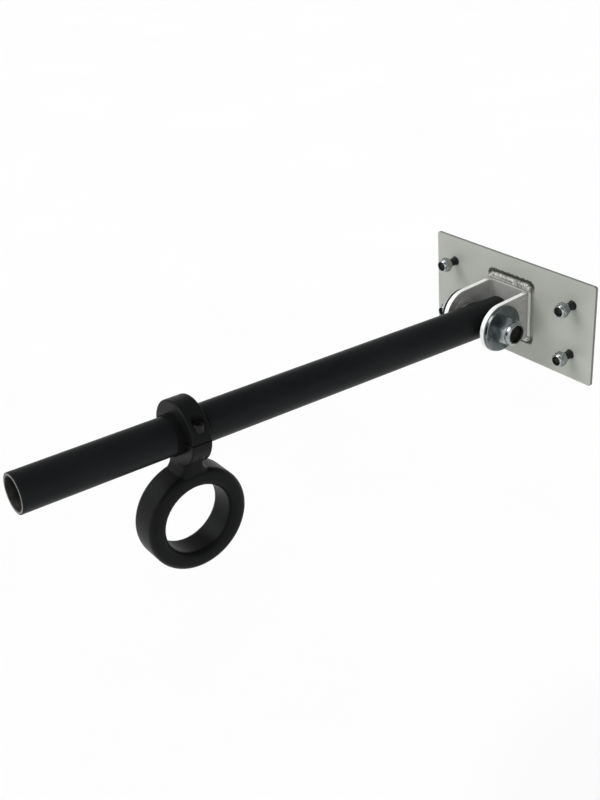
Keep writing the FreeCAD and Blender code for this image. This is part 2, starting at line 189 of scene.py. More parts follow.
def edgeWear(tree, width):
    # 0 on flats, 1 on the arrises of a piece
    bevel = addNode(tree, "ShaderNodeBevel", samples=arris["samples"], Radius=width)
    geometry = addNode(tree, "ShaderNodeNewGeometry")
    product = addNode(tree, "ShaderNodeVectorMath", operation="DOT_PRODUCT")
    tree.links.new(bevel.outputs["Normal"], product.inputs[0])
    tree.links.new(geometry.outputs["True Normal"], product.inputs[1])
    return remap(tree, product.outputs["Value"], arris["flatCosine"], arris["wornCosine"], 0.0, 1.0)


def fillShader(tree, shader, body, rough, metallic, specular=0.5):
    tree.links.new(body, shader.inputs["Base Color"])
    tree.links.new(rough, shader.inputs["Roughness"])
    shader.inputs["Metallic"].default_value = metallic
    shader.inputs["Specular IOR Level"].default_value = specular


def plateCoat():
    # powder coat with darker cut edges and painted shade along the weld toe
    coat = {
        "light": (0.365, 0.38, 0.35), "dark": (0.335, 0.345, 0.308), "cutEdge": (0.15, 0.16, 0.145),
        "cloudScale": 14, "sheenScale": 60, "chipScale": 160, "peelScale": 950, "gritScale": 3200,
        "sideRange": (0.35, 0.75), "edgeWidth": 0.0006, "edgeAmount": 0.6, "chipRange": (0.45, 0.65),
        "roughLow": 0.38, "roughHigh": 0.52, "metallic": 0.1, "specular": 0.3,
        "peelBump": (0.35, 0.00012), "gritBump": (0.15, 0.00004)}
    material, tree, shader = startMaterial("plateCoat")
    vector = placedCoords(tree)
    facing = axesOf(tree, "Normal")
    place = axesOf(tree, "Object")
    body = twoTone(tree, noiseOn(tree, vector, coat["cloudScale"], 4), coat["dark"], coat["light"])
    side = remap(tree, maths(tree, "ABSOLUTE", facing["Y"]), *coat["sideRange"], 1.0, 0.0)
    body = layOver(tree, side, body, coat["cutEdge"])
    chips = noiseOn(tree, vector, coat["chipScale"], 5)
    chips = remap(tree, chips, *coat["chipRange"], 0.0, coat["edgeAmount"])
    worn = maths(tree, "MULTIPLY", edgeWear(tree, coat["edgeWidth"]), chips)
    body = layOver(tree, worn, body, coat["cutEdge"])
    # painted shade: a ragged dark band on the plate along the weld toe, strongest along the top and
    # bottom beads
    toeShade = {
        "tone": (0.018, 0.018, 0.016), "reach": 0.0025, "innerBlur": 0.0006, "outerBlur": 0.00024,
        "cornerRound": 0.004, "raggedScale": 300, "ragged": 0.0009, "frontRange": (-0.8, -0.4),
        "sideAmount": 0.12, "sideDrop": 0.011, "topAmount": 0.95, "topDrop": 0.003}
    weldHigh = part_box("clevis_weld")[1]
    height = maths(tree, "ABSOLUTE", place["Z"])
    # distance outside a rectangle with rounded corners
    halfWidth = weldHigh.x - toeShade["cornerRound"]
    halfHeight = weldHigh.z - toeShade["cornerRound"]
    beside = maths(tree, "SUBTRACT", maths(tree, "ABSOLUTE", place["X"]), halfWidth)
    beside = maths(tree, "MAXIMUM", beside, 0.0)
    above = maths(tree, "MAXIMUM", maths(tree, "SUBTRACT", height, halfHeight), 0.0)
    squares = [maths(tree, "MULTIPLY", step, step) for step in (beside, above)]
    outside = maths(tree, "SQRT", maths(tree, "ADD", *squares))
    outside = maths(tree, "SUBTRACT", outside, toeShade["cornerRound"])
    ragged = noiseOn(tree, vector, toeShade["raggedScale"], 3, 0.7)
    outside = maths(tree, "ADD", outside, spread(tree, ragged, -toeShade["ragged"], toeShade["ragged"]))
    toeShadeMask = remap(tree, outside, toeShade["reach"] - toeShade["innerBlur"], toeShade["reach"] + toeShade["outerBlur"],
                  1.0, 0.0)
    fade = remap(tree, height, weldHigh.z - toeShade["sideDrop"], weldHigh.z - toeShade["topDrop"],
                 toeShade["sideAmount"], toeShade["topAmount"])
    toeShadeMask = maths(tree, "MULTIPLY", toeShadeMask, fade)
    toeShadeMask = maths(tree, "MULTIPLY", toeShadeMask, remap(tree, facing["Y"], *toeShade["frontRange"], 1.0, 0.0))
    # the painted shade along the weld toe goes over the coat
    body = layOver(tree, toeShadeMask, body, toeShade["tone"])
    sheen = noiseOn(tree, vector, coat["sheenScale"], 4)
    fillShader(tree, shader, body, spread(tree, sheen, coat["roughLow"], coat["roughHigh"]),
               coat["metallic"], coat["specular"])
    peel = noiseOn(tree, vector, coat["peelScale"], 2)
    grit = noiseOn(tree, vector, coat["gritScale"], 1)
    bumps(tree, shader, (peel, *coat["peelBump"]), (grit, *coat["gritBump"]))
    return material


def brushedMetal(name, settings):
    # mill finish with fine drawn lines along Y, a painted highlight on the ear rims, and a polish on
    # its arrises that is partly painted highlight
    grain = {
        "drawnScale": 2600, "drawnStretch": (1, 0.03, 1), "broadScale": 260,
        "broadStretch": (1, 0.12, 1), "smudgeScale": 45, "rimNoiseScale": 300, "rimNoiseRange": (0.25, 0.6),
        "rimNoiseLow": 0.75, "rimFacing": (0.45, 0.75), "earStart": 0.002, "earFull": 0.006,
        "polish": 0.7, "polishSheen": 0.08,
        "smudgeBump": (0.2, 0.0002), "drawnBump": (0.25, 0.00004)}
    material, tree, shader = startMaterial(name)
    vector = placedCoords(tree)
    drawn = noiseOn(tree, placedCoords(tree, grain["drawnStretch"]), grain["drawnScale"], 3, 0.6)
    broad = noiseOn(tree, placedCoords(tree, grain["broadStretch"]), grain["broadScale"], 4)
    smudge = noiseOn(tree, vector, grain["smudgeScale"], 5, 0.6)
    wear = edgeWear(tree, settings["edgeWidth"])
    body = twoTone(tree, broad, settings["dark"], settings["light"])
    # painted highlight: the rim faces of the ears are painted much brighter than the rolled faces,
    # broken up by noise
    facing = maths(tree, "ABSOLUTE", axesOf(tree, "Normal")["X"])
    rimHighlight = remap(tree, facing, *grain["rimFacing"], 1.0, 0.0)
    webFront = settings["webFront"]
    onEar = remap(tree, axesOf(tree, "Object")["Y"], webFront - grain["earFull"],
                  webFront - grain["earStart"], 1.0, 0.0)
    rimHighlight = maths(tree, "MULTIPLY", rimHighlight, onEar)
    rimNoise = noiseOn(tree, vector, grain["rimNoiseScale"], 4)
    rimNoise = remap(tree, rimNoise, *grain["rimNoiseRange"], grain["rimNoiseLow"], 1.0)
    rimHighlight = maths(tree, "MULTIPLY", rimHighlight, rimNoise)
    # painted highlight on the ear rims, joined with rubbed arrises that are partly painted highlight
    bright = maths(tree, "MAXIMUM", rimHighlight, maths(tree, "MULTIPLY", wear, grain["polish"]))
    body = layOver(tree, bright, body, settings["edge"])
    rough = spread(tree, smudge, settings["roughLow"], settings["roughHigh"])
    polished = maths(tree, "MULTIPLY", wear, grain["polishSheen"])
    rough = maths(tree, "SUBTRACT", rough, polished, True)
    fillShader(tree, shader, body, rough, settings["metallic"])
    bumps(tree, shader, (smudge, *grain["smudgeBump"]), (drawn, *grain["drawnBump"]))
    return material


def weldMetal(name, settings):
    # dull and bright puddles with heat tint and pits
    grain = {
        "patchScale": 120, "patchRange": (0.35, 0.62), "fineScale": 1500, "heatScale": 70,
        "heatRange": (0.5, 0.75), "heatAmount": 0.5, "pitScale": 420, "pitRange": (0.5, 0.62),
        "pitAmount": 0.8, "patchBump": (0.4, 0.0005), "pitBump": (0.5, -0.0003),
        "fineBump": (0.25, 0.00006)}
    material, tree, shader = startMaterial(name)
    vector = placedCoords(tree)
    patch = noiseOn(tree, vector, grain["patchScale"], 4)
    fine = noiseOn(tree, vector, grain["fineScale"], 3)
    tones = (settings["dull"], settings["bright"])
    body = ramp(tree, patch, list(zip(grain["patchRange"], tones)))
    heat = noiseOn(tree, vector, grain["heatScale"], 3)
    heat = remap(tree, heat, *grain["heatRange"], 0.0, grain["heatAmount"])
    body = layOver(tree, heat, body, settings["heat"])
    pits = noiseOn(tree, vector, grain["pitScale"], 3, 0.6)
    pits = remap(tree, pits, *grain["pitRange"], 0.0, grain["pitAmount"])
    body = layOver(tree, pits, body, settings["pit"])
    rough = spread(tree, fine, settings["roughLow"], settings["roughHigh"])
    fillShader(tree, shader, body, rough, settings["metallic"])
    bumps(tree, shader, (patch, *grain["patchBump"]), (pits, *grain["pitBump"]),
          (fine, *grain["fineBump"]))
    return material


zincGrain = {
    "cloudScale": 90, "cloudRange": (0.32, 0.68), "microScale": 2600, "cellScale": 420,
    "cellAmount": 0.12, "edgeWidth": 0.0004, "cloudBump": (0.12, 0.0003), "microBump": (0.12, 0.00003)}


def zincTones(tree, vector, settings):
    # cloudy plating, polished on its arrises
    cloud = noiseOn(tree, vector, zincGrain["cloudScale"], 4, 0.6, 0.4)
    tones = (settings["blue"], settings["pale"])
    body = ramp(tree, cloud, list(zip(zincGrain["cloudRange"], tones)))
    polish = maths(tree, "MULTIPLY", edgeWear(tree, zincGrain["edgeWidth"]), settings["polish"])
    return cloud, body, polish


def zincBumps(tree, shader, vector, cloud):
    micro = noiseOn(tree, vector, zincGrain["microScale"], 2)
    bumps(tree, shader, (cloud, *zincGrain["cloudBump"]), (micro, *zincGrain["microBump"]))


def zincPlate(name, settings):
    material, tree, shader = startMaterial(name)
    vector = placedCoords(tree)
    cloud, body, polish = zincTones(tree, vector, settings)
    cell = addNode(tree, "ShaderNodeTexVoronoi", Scale=zincGrain["cellScale"])
    tree.links.new(vector, cell.inputs["Vector"])
    spangle = remap(tree, cell.outputs["Distance"], 0.0, 1.0, 0.0, zincGrain["cellAmount"])
    body = layOver(tree, spangle, body, settings["stain"])
    body = layOver(tree, polish, body, settings["edge"])
    rough = spread(tree, cloud, settings["roughLow"], settings["roughHigh"])
    fillShader(tree, shader, body, rough, 1.0)
    zincBumps(tree, shader, vector, cloud)
    return material


def boltZinc(name, settings):
    # plated head and shank, with painted shade on the threads from the nut outwards
    material, tree, shader = startMaterial(name)
    vector = placedCoords(tree)
    cloud, body, polish = zincTones(tree, vector, settings)
    body = layOver(tree, polish, body, settings["edge"])
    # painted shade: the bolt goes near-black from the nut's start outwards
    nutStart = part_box("pivot_lock_nut")[0].x
    threadShadeMask = remap(tree, axesOf(tree, "Object")["X"], nutStart, nutStart + settings["threadShadeBlur"],
                     0.0, 1.0)
    body = layOver(tree, threadShadeMask, body, settings["threadShade"])
    rough = spread(tree, cloud, settings["roughLow"], settings["roughHigh"])
    fillShader(tree, shader, body, rough, settings["metallic"], settings["specular"])
    zincBumps(tree, shader, vector, cloud)
    return material


def darkFinish(name, settings):
    # coatings and plastics: base tone, sheen patches, orange peel and rubbed arrises
    grain = {
        "gritShare": 3.4, "streakScale": 520, "streakRange": (0.64, 0.72), "patchScale": 30,
        "patchRange": (0.48, 0.62), "chipScale": 420, "chipRange": (0.5, 0.66),
        "peelDepth": 0.00014, "gritDepth": 0.00004}
    material, tree, shader = startMaterial(name)
    turn = (settings.get("turn", 0.0), 0, 0)
    vector = placedCoords(tree, turn=turn)
    cloud = noiseOn(tree, vector, settings["cloudScale"], 4)
    peel = noiseOn(tree, vector, settings["peelScale"], 2)
    grit = noiseOn(tree, vector, settings["peelScale"] * grain["gritShare"], 1)
    body = twoTone(tree, cloud, settings["dark"], settings["light"])
    if settings.get("scuff"):
        streaks = placedCoords(tree, settings["scuffStretch"], turn)
        streaks = noiseOn(tree, streaks, grain["streakScale"], 4, 0.7)
        streaks = remap(tree, streaks, *grain["streakRange"], 0.0, settings["scuff"])
        patches = noiseOn(tree, vector, grain["patchScale"], 3)
        patches = remap(tree, patches, *grain["patchRange"], 0.0, 1.0)
        body = layOver(tree, maths(tree, "MULTIPLY", streaks, patches), body, settings["bare"])
    if settings.get("edgeWidth"):
        chips = noiseOn(tree, vector, grain["chipScale"], 5, 0.65)
        chips = remap(tree, chips, *grain["chipRange"], 0.0, settings["edgeAmount"])
        worn = maths(tree, "MULTIPLY", edgeWear(tree, settings["edgeWidth"]), chips)
        body = layOver(tree, worn, body, settings["bare"])
    rough = spread(tree, cloud, settings["roughLow"], settings["roughHigh"])
    fillShader(tree, shader, body, rough, settings.get("metallic", 0.0), settings.get("specular", 0.5))
    bumps(tree, shader, (peel, settings["peel"], grain["peelDepth"]),
          (grit, settings["peel"] * 0.5, grain["gritDepth"]))
    return material


def bareSteel(name, settings):
    # turned or sawn steel with arcs and a little rust bloom
    grain = {
        "patchScale": 150, "fineScale": 1800, "rustScale": 400, "rustRange": (0.58, 0.72),
        "rustTone": (0.16, 0.09, 0.05), "metallic": 0.9, "patchBump": (0.15, 0.0002),
        "fineBump": (0.3, 0.00005)}
    material, tree, shader = startMaterial(name)
    vector = placedCoords(tree)
    patch = noiseOn(tree, vector, grain["patchScale"], 4)
    fine = noiseOn(tree, placedCoords(tree, settings["stretch"]), grain["fineScale"], 3, 0.6)
    body = twoTone(tree, patch, settings["dark"], settings["light"])
    rust = noiseOn(tree, vector, grain["rustScale"], 5)
    rust = remap(tree, rust, *grain["rustRange"], 0.0, settings["rust"])
    body = layOver(tree, rust, body, grain["rustTone"])
    rough = spread(tree, fine, settings["roughLow"], settings["roughHigh"])
    fillShader(tree, shader, body, rough, grain["metallic"])
    bumps(tree, shader, (patch, *grain["patchBump"]), (fine, *grain["fineBump"]))
    return material


materials = {
    "boltZinc": boltZinc("boltZinc", {
        "blue": (0.3, 0.33, 0.35), "pale": (0.52, 0.55, 0.56), "edge": (0.8, 0.82, 0.82), "polish": 0.5,
        # the dark thread tone is painted shade on the bolt's end in the nut
        "threadShade": (0.012, 0.013, 0.011), "threadShadeBlur": 0.002, "roughLow": 0.26, "roughHigh": 0.42,
        "metallic": 0.8, "specular": 0.25}),
    "plateCoat": plateCoat(),
    "clevisMetal": brushedMetal("clevisMetal", {
        # the edge tone is a painted highlight on the ear rims and arrises
        "light": (0.37, 0.37, 0.357), "dark": (0.29, 0.29, 0.277), "edge": (0.88, 0.89, 0.86),
        "edgeWidth": 0.0009, "webFront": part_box("wall_plate")[0].y - 0.0048,
        "roughLow": 0.36, "roughHigh": 0.5, "metallic": 0.15}),
    "weldMetal": weldMetal("weldMetal", {
        "bright": (0.56, 0.56, 0.53), "dull": (0.27, 0.27, 0.255), "heat": (0.3, 0.28, 0.25),
        "pit": (0.09, 0.088, 0.08), "roughLow": 0.36, "roughHigh": 0.6, "metallic": 0.4}),
    "zincPlate": zincPlate("zincPlate", {
        "blue": (0.17, 0.19, 0.2), "pale": (0.46, 0.49, 0.49), "stain": (0.08, 0.085, 0.08),
        "edge": (0.92, 0.93, 0.93), "polish": 0.6, "roughLow": 0.13, "roughHigh": 0.26}),
    "washerZinc": zincPlate("washerZinc", {
        "blue": (0.085, 0.105, 0.11), "pale": (0.2, 0.22, 0.225), "stain": (0.05, 0.055, 0.05),
        "edge": (0.6, 0.62, 0.62), "polish": 0.6, "roughLow": 0.13, "roughHigh": 0.26}),
    "barCoat": darkFinish("barCoat", {
        "dark": (0.0045, 0.0055, 0.006), "light": (0.0075, 0.0085, 0.009), "bare": (0.04, 0.04, 0.04),
        "cloudScale": 22, "peelScale": 900, "peel": 0.22, "roughLow": 0.38, "roughHigh": 0.48,
        "scuff": 0.3, "scuffStretch": (1, 0.03, 1), "turn": barTilt, "specular": 0.095}),
    "ringCoat": darkFinish("ringCoat", {
        "dark": (0.003, 0.0034, 0.0034), "light": (0.0056, 0.006, 0.006), "bare": (0.04, 0.04, 0.04),
        "cloudScale": 40, "peelScale": 1100, "peel": 0.25, "roughLow": 0.36, "roughHigh": 0.48,
        "edgeWidth": 0.0007, "edgeAmount": 0.35, "turn": barTilt, "specular": 0.085}),
    "linerRubber": darkFinish("linerRubber", {
        "dark": (0.002, 0.002, 0.002), "light": (0.004, 0.004, 0.004), "cloudScale": 80,
        "peelScale": 1800, "peel": 0.4, "roughLow": 0.75, "roughHigh": 0.9, "specular": 0.1,
        "turn": barTilt}),
    "blackOxideAndShade": darkFinish("blackOxideAndShade", {
        "dark": (0.006, 0.006, 0.006), "light": (0.014, 0.014, 0.014), "bare": (0.12, 0.12, 0.12),
        "cloudScale": 160, "peelScale": 2400, "peel": 0.2, "roughLow": 0.36, "roughHigh": 0.5,
        "edgeWidth": 0.0002, "edgeAmount": 0.5, "metallic": 0.3, "specular": 0.2}),
    "nutNylon": darkFinish("nutNylon", {
        "dark": (0.006, 0.008, 0.005), "light": (0.012, 0.015, 0.01), "cloudScale": 200,
        "peelScale": 1500, "peel": 0.15, "roughLow": 0.4, "roughHigh": 0.55, "specular": 0.25}),
    "thrustPlastic": darkFinish("thrustPlastic", {
        "dark": (0.29, 0.29, 0.28), "light": (0.38, 0.38, 0.37), "cloudScale": 90,
        "peelScale": 1300, "peel": 0.15, "roughLow": 0.45, "roughHigh": 0.6}),
    "rimSteel": bareSteel("rimSteel", {
        "dark": (0.13, 0.13, 0.125), "light": (0.24, 0.24, 0.23), "stretch": (1, 1, 0.08),
        "rust": 0.25, "roughLow": 0.34, "roughHigh": 0.5}),
    "boreSteel": bareSteel("boreSteel", {
        "dark": (0.012, 0.012, 0.012), "light": (0.03, 0.029, 0.027), "stretch": (1, 0.06, 1),
        "rust": 0.25, "roughLow": 0.5, "roughHigh": 0.7}),
    "sleeveSteel": bareSteel("sleeveSteel", {
        "dark": (0.22, 0.22, 0.21), "light": (0.36, 0.36, 0.35), "stretch": (0.06, 1, 1),
        "rust": 0.2, "roughLow": 0.34, "roughHigh": 0.5}),
}
print("materials:", len(materials))

nodeFinish = {
    "wall_plate": "plateCoat", "clevis_bracket": "clevisMetal", "wall_nuts": "zincPlate",
    "wall_nut_inserts": "nutNylon", "pivot_bolt": "boltZinc", "pivot_washer_nut": "washerZinc",
    # the head-side washer is a zinc washer in shade; its black finish is painted shade
    "pivot_washer_head": "blackOxideAndShade", "pivot_lock_nut": "zincPlate", "pivot_nut_insert": "nutNylon",
    "thrust_washer_left": "thrustPlastic", "thrust_washer_right": "thrustPlastic",
    "pivot_sleeve": "sleeveSteel", "clamp_liner": "linerRubber", "ring_base": "ringCoat",
    "clamp_cap": "ringCoat", "clamp_screw_left": "blackOxideAndShade", "clamp_screw_right": "blackOxideAndShade",
}
for nodeName, finish in nodeFinish.items():
    mesh = frame["nodes"][nodeName].data
    mesh.materials.clear()
    mesh.materials.append(materials[finish])
print("cad nodes finished:", len(nodeFinish))

# pieces that are closed up before use are merged within a micrometre
mergeDistance = 1e-6


def startTree(name, inputs):
    tree = bpy.data.node_groups.new(name, "GeometryNodeTree")
    tree.interface.new_socket("Geometry", in_out="INPUT", socket_type="NodeSocketGeometry")
    for label, kind, value in inputs:
        socket = tree.interface.new_socket(label, in_out="INPUT", socket_type=kind)
        if value is not None:
            socket.default_value = value
    tree.interface.new_socket("Geometry", in_out="OUTPUT", socket_type="NodeSocketGeometry")
    return tree, tree.nodes.new("NodeGroupInput"), tree.nodes.new("NodeGroupOutput")


def finishTree(tree, instances, groupIn, groupOut):
    # instances become smooth plain geometry in the group's material
    realize = tree.nodes.new("GeometryNodeRealizeInstances")
    smooth = tree.nodes.new("GeometryNodeSetShadeSmooth")
    finish = tree.nodes.new("GeometryNodeSetMaterial")
    tree.links.new(instances, realize.inputs["Geometry"])
    tree.links.new(realize.outputs["Geometry"], smooth.inputs["Geometry"])
    tree.links.new(smooth.outputs["Geometry"], finish.inputs["Geometry"])
    tree.links.new(groupIn.outputs["Material"], finish.inputs["Material"])
    tree.links.new(finish.outputs["Geometry"], groupOut.inputs["Geometry"])


def bakeTree(name, source, tree, values):
    # runs the tree on an object and keeps the result as a plain mesh
    modifier = source.modifiers.new(tree.name, "NODES")
    modifier.node_group = tree
    inputs = [item for item in tree.interface.items_tree if item.in_out == "INPUT"]
    identifiers = {item.name: item.identifier for item in inputs}
    for label, value in values.items():
        modifier[identifiers[label]] = value
    bpy.context.view_layer.update()
    evaluated = source.evaluated_get(bpy.context.evaluated_depsgraph_get())
    mesh = bpy.data.meshes.new_from_object(evaluated)
    mesh.name = name
    mesh.materials.clear()
    mesh.materials.append(values["Material"])
    for polygon in mesh.polygons:
        polygon.material_index = 0
    bpy.data.objects.remove(source)
    return addObject(name, mesh)


def addObject(name, data):
    added = bpy.data.objects.new(name, data)
    bpy.context.scene.collection.objects.link(added)
    return added


def pathObject(name, points, closed):
    mesh = bpy.data.meshes.new(name)
    edges = [(i, i + 1) for i in range(len(points) - 1)]
    if closed:
        edges.append((len(points) - 1, 0))
    mesh.from_pydata([tuple(p) for p in points], edges, [])
    return addObject(name, mesh)


def weldTree():
    # overlapping puddles along a path, each a little different
    puddleShape = {"Segments": 12, "Rings": 8, "Radius": 1.0}
    flatness = 0.62
    tree, groupIn, groupOut = startTree("weldBead", [
        ("Bead Radius", "NodeSocketFloat", 0.004), ("Ripple Pitch", "NodeSocketFloat", 0.0024),
        ("Unevenness", "NodeSocketFloat", 0.1), ("Seed", "NodeSocketInt", 3),
        ("Material", "NodeSocketMaterial", None)])
    link = tree.links.new
    curve = tree.nodes.new("GeometryNodeMeshToCurve")
    spaced = addNode(tree, "GeometryNodeResampleCurve", mode="LENGTH")
    link(groupIn.outputs["Geometry"], curve.inputs["Mesh"])
    link(curve.outputs["Curve"], spaced.inputs["Curve"])
    link(groupIn.outputs["Ripple Pitch"], spaced.inputs["Length"])
    tangent = tree.nodes.new("GeometryNodeInputTangent")
    aim = addNode(tree, "FunctionNodeAlignRotationToVector", axis="Z")
    link(tangent.outputs["Tangent"], aim.inputs["Vector"])
    jitter = tree.nodes.new("FunctionNodeRandomValue")
    randomOut = [s for s in jitter.outputs if s.type == "VALUE"][0]
    randomMin, randomMax = [s for s in jitter.inputs if s.type == "VALUE"][:2]
    link(maths(tree, "SUBTRACT", 1.0, groupIn.outputs["Unevenness"]), randomMin)
    link(maths(tree, "ADD", 1.0, groupIn.outputs["Unevenness"]), randomMax)
    link(groupIn.outputs["Seed"], jitter.inputs["Seed"])
    size = maths(tree, "MULTIPLY", randomOut, groupIn.outputs["Bead Radius"])
    scale = tree.nodes.new("ShaderNodeCombineXYZ")
    link(size, scale.inputs["X"])
    link(size, scale.inputs["Y"])
    link(maths(tree, "MULTIPLY", size, flatness), scale.inputs["Z"])
    puddle = addNode(tree, "GeometryNodeMeshUVSphere", **puddleShape)
    place = tree.nodes.new("GeometryNodeInstanceOnPoints")
    link(spaced.outputs["Curve"], place.inputs["Points"])
    link(puddle.outputs["Mesh"], place.inputs["Instance"])
    link(aim.outputs["Rotation"], place.inputs["Rotation"])
    link(scale.outputs["Vector"], place.inputs["Scale"])
    finishTree(tree, place.outputs["Instances"], groupIn, groupOut)
    return tree


def threadTree():
    # a rod with a helical V thread, rolled up from a grid and set on each point of the input
    thread = {"endShare": 0.03, "crestFlat": 0.86, "turnsBefore": 64.0}
    tree, groupIn, groupOut = startTree("threadedRod", [
        ("Radius", "NodeSocketFloat", 0.004), ("Thread Depth", "NodeSocketFloat", 0.0006),
        ("Pitch", "NodeSocketFloat", 0.0014), ("Length", "NodeSocketFloat", 0.02),
        ("End Taper", "NodeSocketFloat", 0.0008), ("Steps Round", "NodeSocketInt", 36),
        ("Steps Along", "NodeSocketInt", 120), ("Rotation", "NodeSocketVector", (0, 0, 0)),
        ("Material", "NodeSocketMaterial", None)])
    link = tree.links.new
    depth = groupIn.outputs["Thread Depth"]
    length = groupIn.outputs["Length"]

    def number(operation, first, second=None, clamp=False):
        return maths(tree, operation, first, second, clamp)

    grid = addNode(tree, "GeometryNodeMeshGrid", **{"Size X": 1.0, "Size Y": 1.0})
    link(groupIn.outputs["Steps Along"], grid.inputs["Vertices X"])
    link(groupIn.outputs["Steps Round"], grid.inputs["Vertices Y"])
    position = tree.nodes.new("GeometryNodeInputPosition")
    parts = tree.nodes.new("ShaderNodeSeparateXYZ")
    link(position.outputs["Position"], parts.inputs["Vector"])
    # the first and last steps close the ends
    along = number("MULTIPLY", number("ADD", parts.outputs["X"], 0.5), 1 + 2 * thread["endShare"])
    along = number("SUBTRACT", along, thread["endShare"])
    inside = number("MULTIPLY", number("GREATER_THAN", along, 0.0), number("LESS_THAN", along, 1.0))
    height = number("MULTIPLY", number("ADD", along, 0.0, True), length)
    turn = number("ADD", parts.outputs["Y"], 0.5)
    angle = number("MULTIPLY", turn, 2 * math.pi)
    # the turns before the start keep the phase above zero
    phase = number("SUBTRACT", number("DIVIDE", height, groupIn.outputs["Pitch"]), turn)
    phase = number("FRACT", number("ADD", phase, thread["turnsBefore"]))
    groove = number("ABSOLUTE", number("SUBTRACT", number("MULTIPLY", phase, 2.0), 1.0))
    groove = number("SMOOTH_MIN", groove, thread["crestFlat"])
    edge = number("MINIMUM", height, number("SUBTRACT", length, height))
    taper = number("SUBTRACT", 1.0, number("DIVIDE", edge, groupIn.outputs["End Taper"], True), True)
    radius = number("SUBTRACT", groupIn.outputs["Radius"], number("MULTIPLY", groove, depth))
    radius = number("SUBTRACT", radius, number("MULTIPLY", taper, depth))
    radius = number("MULTIPLY", radius, inside)
    rolled = tree.nodes.new("ShaderNodeCombineXYZ")
    link(number("MULTIPLY", radius, number("COSINE", angle)), rolled.inputs["X"])
    link(number("MULTIPLY", radius, number("SINE", angle)), rolled.inputs["Y"])
    link(height, rolled.inputs["Z"])
    setPosition = tree.nodes.new("GeometryNodeSetPosition")
    link(grid.outputs["Mesh"], setPosition.inputs["Geometry"])
    link(rolled.outputs["Vector"], setPosition.inputs["Position"])
    merge = addNode(tree, "GeometryNodeMergeByDistance", Distance=mergeDistance)
    link(setPosition.outputs["Geometry"], merge.inputs["Geometry"])
    place = tree.nodes.new("GeometryNodeInstanceOnPoints")
    link(groupIn.outputs["Geometry"], place.inputs["Points"])
    link(merge.outputs["Geometry"], place.inputs["Instance"])
    link(groupIn.outputs["Rotation"], place.inputs["Rotation"])
    finishTree(tree, place.outputs["Instances"], groupIn, groupOut)
    return tree


def joinPieces(name, pieces):
    # one mesh that keeps each piece's material
    mesh = bpy.data.meshes.new(name)
    work = bmesh.new()
    for slotIndex, piece in enumerate(pieces):
        start = len(work.faces)
        work.from_mesh(piece.data)
        work.faces.ensure_lookup_table()
        for face in work.faces[start:]:
            face.material_index = slotIndex
            face.smooth = True
        mesh.materials.append(piece.data.materials[0])
        bpy.data.objects.remove(piece)
    work.to_mesh(mesh)
    work.free()
    return addObject(name, mesh)


def outwardFaces(piece):
    work = bmesh.new()
    work.from_mesh(piece.data)
    bmesh.ops.remove_doubles(work, verts=work.verts, dist=mergeDistance)
    bmesh.ops.recalc_face_normals(work, faces=work.faces)
    work.to_mesh(piece.data)
    work.free()


beadTree = weldTree()
clevisWeld = {
    "plateRadius": 0.0029, "platePitch": 0.0021, "plateSeed": 11, "plateSink": 0.35,
    "stripRadius": 0.0022, "stripPitch": 0.0017, "stripSeed": 7, "stripLift": 0.55,
    "sideRadius": 0.0021, "sidePitch": 0.0011, "sideSeed": 17, "sideStep": 0.9,
    "topMargin": 0.0004, "frontMargin": 0.0003, "endMargin": 0.0004, "cornerRound": 0.0016,
    "cornerSteps": 4, "cornerReturn": 0.009, "unevenness": 0.12, "sideUnevenness": 0.05}
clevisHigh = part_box("clevis_bracket")[1]
weldLow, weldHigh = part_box("clevis_weld")
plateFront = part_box("wall_plate")[0].y


def cornerRun(halfWidth, topZ, footZ, y):
    # up one side, round two corners and down the other side
    radius, steps = clevisWeld["cornerRound"], clevisWeld["cornerSteps"]
    points = [(halfWidth, footZ)]
    for side, startAngle in ((1, 0), (-1, 90)):
        for step in range(steps + 1):
            angle = math.radians(startAngle + 90 * step / steps)
            points.append((side * (halfWidth - radius) + radius * math.cos(angle),
                           topZ - radius + radius * math.sin(angle)))
    points.append((-halfWidth, footZ))
    return [Vector((x, y, z)) for x, z in points]


def weldRun(name, points, kind, unevenness, seed, material):
    return bakeTree(name, pathObject(name + "Path", points, False), beadTree, {
        "Bead Radius": clevisWeld[kind + "Radius"], "Ripple Pitch": clevisWeld[kind + "Pitch"],
        "Unevenness": unevenness, "Seed": seed, "Material": materials[material]})


biggest = 1 + clevisWeld["unevenness"]
plateReach = clevisWeld["plateRadius"] * biggest
stripReach = clevisWeld["stripRadius"] * biggest
sideReach = clevisWeld["sideRadius"] * (1 + clevisWeld["sideUnevenness"])
plateTop = weldHigh.z - clevisWeld["topMargin"] - plateReach
plateHalf = weldHigh.x - clevisWeld["endMargin"] - plateReach
plateY = plateFront - clevisWeld["plateRadius"] * clevisWeld["plateSink"]
stripZ = clevisHigh.z + clevisWeld["stripRadius"] * clevisWeld["stripLift"]
stripY = weldLow.y + clevisWeld["frontMargin"] + stripReach
stripHalf = weldHigh.x - clevisWeld["endMargin"] - stripReach
sideX = weldHigh.x - clevisWeld["endMargin"] - sideReach
sideY = plateFront - sideReach * clevisWeld["sideStep"]
footZ = weldHigh.z - clevisWeld["cornerReturn"]
weldRuns = []
for flip, label in ((1, "Top"), (-1, "Low")):
    upright = Matrix.Diagonal((1, 1, flip))
    toPlate = [upright @ p for p in cornerRun(plateHalf, plateTop, footZ, plateY)]
    toStrip = [upright @ Vector((x, stripY, stripZ)) for x in (stripHalf, -stripHalf)]
    weldRuns.append(weldRun("plateBead" + label, toPlate, "plate", clevisWeld["unevenness"],
                            clevisWeld["plateSeed"], "weldMetal"))
    weldRuns.append(weldRun("stripBead" + label, toStrip, "strip", clevisWeld["unevenness"],
                            clevisWeld["stripSeed"], "weldMetal"))
